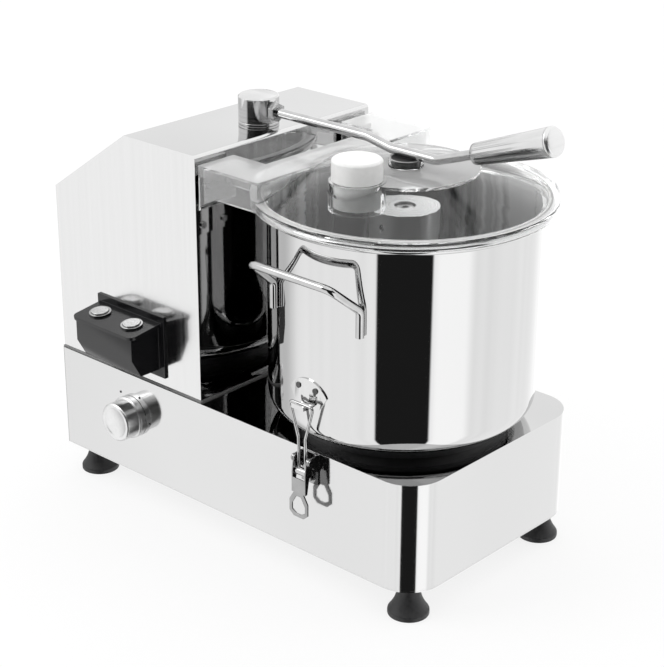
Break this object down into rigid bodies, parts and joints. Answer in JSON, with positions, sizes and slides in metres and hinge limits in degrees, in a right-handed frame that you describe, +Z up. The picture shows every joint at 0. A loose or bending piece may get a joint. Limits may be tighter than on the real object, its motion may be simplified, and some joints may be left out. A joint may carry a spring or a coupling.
{
  "type": "bowl cutter",
  "caption": "Bench-top food cutter with a motor tower, a clamped steel bowl, a clear hinged lid, a swinging lid lever and curved blades on a central hub.",
  "frame": {"origin": "on the floor, under the middle of the object's outline", "axes": "+Z up, +X from the motor tower to the bowl, the controls face -Y"},
  "size_m": [0.5486, 0.3343, 0.4752],
  "materials": {
    "brushed": "brushed stainless sheet",
    "polished": "mirror polished stainless",
    "wire": "polished round wire",
    "fasteners": "plain turned steel",
    "turned": "satin turned steel",
    "rubber": "matte black rubber",
    "grey_rubber": "soft grey rubber",
    "white_rubber": "white silicone",
    "motor_paint": "satin machine paint",
    "cast": "machined casting",
    "alloy": "satin turned aluminium",
    "bronze": "plain bearing bronze",
    "black_plastic": "matte black plastic",
    "black_gloss": "glossy black plastic",
    "board": "coated circuit board",
    "white_plastic": "smooth white plastic",
    "clear": "clear polycarbonate"
  },
  "bodies": {
    "frame": {"base_pan": "brushed", "bottom_cover": "brushed", "rubber_feet": "rubber", "foot_screws": "fasteners", "tower_shell": "brushed", "tower_seal": "grey_rubber", "tower_screws": "fasteners", "motor_plate": "motor_paint", "motor_body": "motor_paint", "motor_bolts": "fasteners", "fan_cowl": "motor_paint", "drive_belt": "rubber", "spindle_bearings": "turned", "bearing_housing": "cast", "housing_bolts": "fasteners", "shaft_seal": "rubber", "bowl_seat": "black_plastic", "control_board": "board", "interlock_sensor": "black_plastic", "cable_gland": "black_plastic", "dial_marks": "black_plastic", "potentiometer": "fasteners", "switch_box": "black_gloss", "button_bezels": "wire", "contact_blocks": "black_plastic", "post_bushing": "bronze", "lid": "clear", "lid_gasket": "white_rubber", "lid_pad": "rubber", "lid_hinge_leaves": "fasteners", "tower_hinge_leaves": "fasteners", "hinge_pins": "fasteners", "hinge_screws": "fasteners", "bowl": "polished", "bowl_handles": "wire", "catch_plates": "polished", "latch_bases": "polished"},
    "lever": {"lever_head": "turned", "lever_nut": "fasteners", "lever_rod": "wire", "lever_grip": "alloy", "grip_cap": "white_plastic", "lever_post": "turned"},
    "blades": {"spindle": "turned", "driven_pulley": "alloy", "blade_hub": "turned", "s_blades": "polished", "hub_screw": "fasteners", "set_screw": "black_plastic"},
    "motor_rotor": {"motor_shaft": "turned", "motor_fan": "black_plastic", "drive_pulley": "alloy"},
    "pusher": {"pusher": "white_plastic"},
    "start_button": {"start_button": "alloy"},
    "stop_button": {"stop_button": "alloy"},
    "speed_knob": {"speed_knob": "alloy"},
    "front_latch_lever": {"front_latch_lever": "polished"},
    "rear_latch_lever": {"rear_latch_lever": "polished"},
    "front_bail": {"front_bail": "wire"},
    "rear_bail": {"rear_bail": "wire"}
  },
  "joints": [
    {"name": "lever_swing", "type": "hinge", "parent": "frame", "child": "lever", "pos_m": [-0.09679, 0.00215, 0.42], "axis": [0, 0, 1], "range_deg": [0, 120]},
    {"name": "blade_spin", "type": "hinge", "parent": "frame", "child": "blades", "pos_m": [0.09921, 0.00215, 0.2], "axis": [0, 0, 1], "continuous": true},
    {"name": "motor_spin", "type": "hinge", "parent": "frame", "child": "motor_rotor", "pos_m": [-0.16479, 0.00215, 0.2], "axis": [0, 0, 1], "continuous": true},
    {"name": "pusher_lift", "type": "slide", "parent": "frame", "child": "pusher", "axis": [0, 0, 1], "range_m": [0, 0.06]},
    {"name": "start_press", "type": "slide", "parent": "frame", "child": "start_button", "axis": [0, 0.1219, -0.9925], "range_m": [0, 0.003], "stiffness_N_per_m": 800},
    {"name": "stop_press", "type": "slide", "parent": "frame", "child": "stop_button", "axis": [0, 0.1219, -0.9925], "range_m": [0, 0.003], "stiffness_N_per_m": 800},
    {"name": "knob_turn", "type": "hinge", "parent": "frame", "child": "speed_knob", "pos_m": [-0.16329, -0.13785, 0.0997], "axis": [0, 1, 0], "range_deg": [0, 280]},
    {"name": "front_latch_turn", "type": "hinge", "parent": "frame", "child": "front_latch_lever", "pos_m": [0.09571, -0.13885, 0.1414], "axis": [-1, 0, 0], "range_deg": [0, 100]},
    {"name": "front_bail_turn", "type": "hinge", "parent": "front_latch_lever", "child": "front_bail", "pos_m": [0.09571, -0.13835, 0.1284], "axis": [-1, 0, 0], "range_deg": [-88, 0]},
    {"name": "rear_latch_turn", "type": "hinge", "parent": "frame", "child": "rear_latch_lever", "pos_m": [0.09571, 0.14315, 0.1414], "axis": [1, 0, 0], "range_deg": [0, 100]},
    {"name": "rear_bail_turn", "type": "hinge", "parent": "rear_latch_lever", "child": "rear_bail", "pos_m": [0.09571, 0.14265, 0.1284], "axis": [1, 0, 0], "range_deg": [-88, 0]}
  ],
  "couplings": [
    {"joint": "motor_spin", "follows": "blade_spin", "ratio": 2.5},
    {"joint": "front_bail_turn", "follows": "front_latch_turn", "ratio": -0.88},
    {"joint": "rear_bail_turn", "follows": "rear_latch_turn", "ratio": -0.88}
  ]
}
